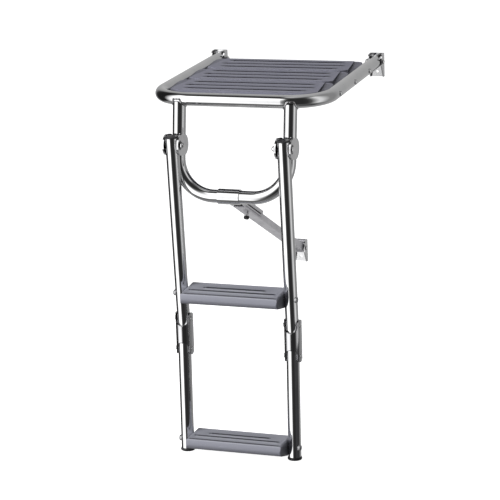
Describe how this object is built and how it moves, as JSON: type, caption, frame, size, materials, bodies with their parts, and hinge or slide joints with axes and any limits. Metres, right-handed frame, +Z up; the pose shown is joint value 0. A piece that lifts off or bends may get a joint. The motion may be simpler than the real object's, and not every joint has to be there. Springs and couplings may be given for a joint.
{
  "type": "boat boarding ladder",
  "caption": "Transom boarding platform of bent steel tube with plastic treads, an adjustable strut and a hinged ladder whose lower half folds up on double-pivot links.",
  "frame": {"origin": "middle of the four screw holes of the two platform brackets, on the transom face", "axes": "+Z up, +Y towards the transom, X across with the platform's right side at +X; the object hangs at Y <= 0"},
  "size_m": [0.37, 0.5067, 0.7007],
  "materials": {
    "polished_steel": "polished stainless steel",
    "satin_steel": "satin stainless steel",
    "grey_plastic": "moulded blue-grey plastic",
    "black_plastic": "black moulded plastic",
    "black_rubber": "black rubber"
  },
  "bodies": {
    "transom_brackets": {"bracket_left": "satin_steel", "bracket_right": "satin_steel", "bracket_strut": "satin_steel", "bracket_bolts": "polished_steel", "bracket_nuts": "polished_steel"},
    "platform": {"platform_frame": "polished_steel", "frame_end_left": "polished_steel", "frame_end_right": "polished_steel", "support_hoop": "polished_steel", "tread_front": "grey_plastic", "tread_middle": "grey_plastic", "tread_rear": "grey_plastic", "tread_rivets": "polished_steel", "hinge_plate_left_outer": "satin_steel", "hinge_plate_left_inner": "satin_steel", "hinge_plate_right_inner": "satin_steel", "hinge_plate_right_outer": "satin_steel", "hinge_bolts": "polished_steel", "hinge_nuts": "polished_steel"},
    "strut_outer": {"strut_collar": "polished_steel", "strut_outer_arm": "satin_steel"},
    "strut_inner": {"strut_inner_arm": "satin_steel", "strut_lock_nut": "polished_steel"},
    "strut_lock": {"strut_lock_screw": "black_plastic"},
    "ladder_upper": {"upper_rail_left": "polished_steel", "upper_rail_right": "polished_steel", "upper_cap_left": "black_plastic", "upper_cap_right": "black_plastic", "upper_plug_left": "black_plastic", "upper_plug_right": "black_plastic", "upper_step": "grey_plastic", "upper_step_screws": "polished_steel"},
    "link_left": {"fold_link_left": "satin_steel", "link_bolts_left": "polished_steel", "link_nuts_left": "polished_steel"},
    "link_right": {"fold_link_right": "satin_steel", "link_bolts_right": "polished_steel", "link_nuts_right": "polished_steel"},
    "ladder_lower": {"lower_rail_left": "polished_steel", "lower_rail_right": "polished_steel", "lower_plug_left": "black_plastic", "lower_plug_right": "black_plastic", "lower_step": "grey_plastic", "lower_step_screws": "polished_steel", "foot_left": "black_rubber", "foot_right": "black_rubber"}
  },
  "joints": [
    {"name": "platform_tilt", "type": "hinge", "parent": "transom_brackets", "child": "platform", "pos_m": [0, -0.013, 0.009], "axis": [1, 0, 0], "range_deg": [-6, 6]},
    {"name": "strut_swing", "type": "hinge", "parent": "platform", "child": "strut_outer", "pos_m": [-0.007, -0.44112, -0.16748], "axis": [1, 0, 0], "range_deg": [-2.35, 2.35]},
    {"name": "strut_slide", "type": "slide", "parent": "strut_outer", "child": "strut_inner", "axis": [0, 0.8865, -0.4628], "range_m": [-0.0375, 0.0375]},
    {"name": "lock_screw_turn", "type": "hinge", "parent": "strut_inner", "child": "strut_lock", "pos_m": [-0.007, -0.34228, -0.21908], "axis": [0, 0.4628, 0.8865], "range_deg": [0, 180]},
    {"name": "ladder_swing", "type": "hinge", "parent": "platform", "child": "ladder_upper", "pos_m": [0, -0.46127, -0.06756], "axis": [-1, 0, 0], "range_deg": [0, 196]},
    {"name": "link_left_fold", "type": "hinge", "parent": "ladder_upper", "child": "link_left", "pos_m": [-0.1085, -0.44753, -0.40978], "axis": [-1, 0, 0], "range_deg": [0, 85.5]},
    {"name": "link_right_fold", "type": "hinge", "parent": "ladder_upper", "child": "link_right", "pos_m": [0.1085, -0.44753, -0.40978], "axis": [-1, 0, 0], "range_deg": [0, 85.5]},
    {"name": "lower_fold", "type": "hinge", "parent": "link_left", "child": "ladder_lower", "pos_m": [0, -0.44973, -0.46974], "axis": [-1, 0, 0], "range_deg": [0, 89]}
  ],
  "couplings": [
    {"joint": "strut_swing", "follows": "platform_tilt", "ratio": -0.38332},
    {"joint": "strut_slide", "follows": "platform_tilt", "m_per_rad": -0.35458},
    {"joint": "link_right_fold", "follows": "link_left_fold", "ratio": 1}
  ]
}
